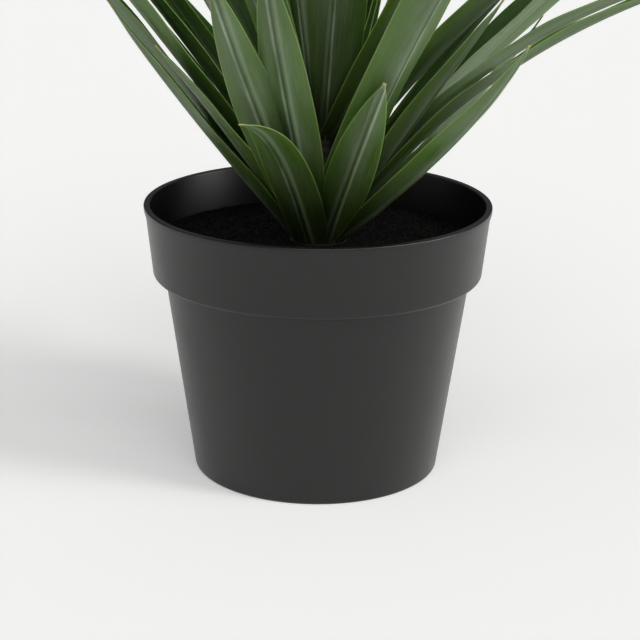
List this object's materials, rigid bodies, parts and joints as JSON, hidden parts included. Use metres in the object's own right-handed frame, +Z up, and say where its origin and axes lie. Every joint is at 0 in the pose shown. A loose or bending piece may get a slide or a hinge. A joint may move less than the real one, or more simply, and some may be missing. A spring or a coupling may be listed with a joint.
{
  "type": "potted yucca",
  "caption": "Rosette of long lance-shaped leaves on a short crown, growing from a plain tapered plastic pot with a deep collar.",
  "frame": {"origin": "centre of the pot's flat underside", "axes": "+Z up along the pot's axis, -Y towards the side the plant is seen from, +X to that viewer's right"},
  "size_m": [0.5115, 0.3993, 0.4857],
  "materials": {
    "pot_plastic": "fine matte, charcoal grey",
    "growing_mix": "black crumbs, dull",
    "leaf": "smooth, waxy, grey-green"
  },
  "bodies": {
    "root": {"pot": "pot_plastic", "soil": "growing_mix", "leaf_rosette": "leaf"}
  },
  "joints": []
}
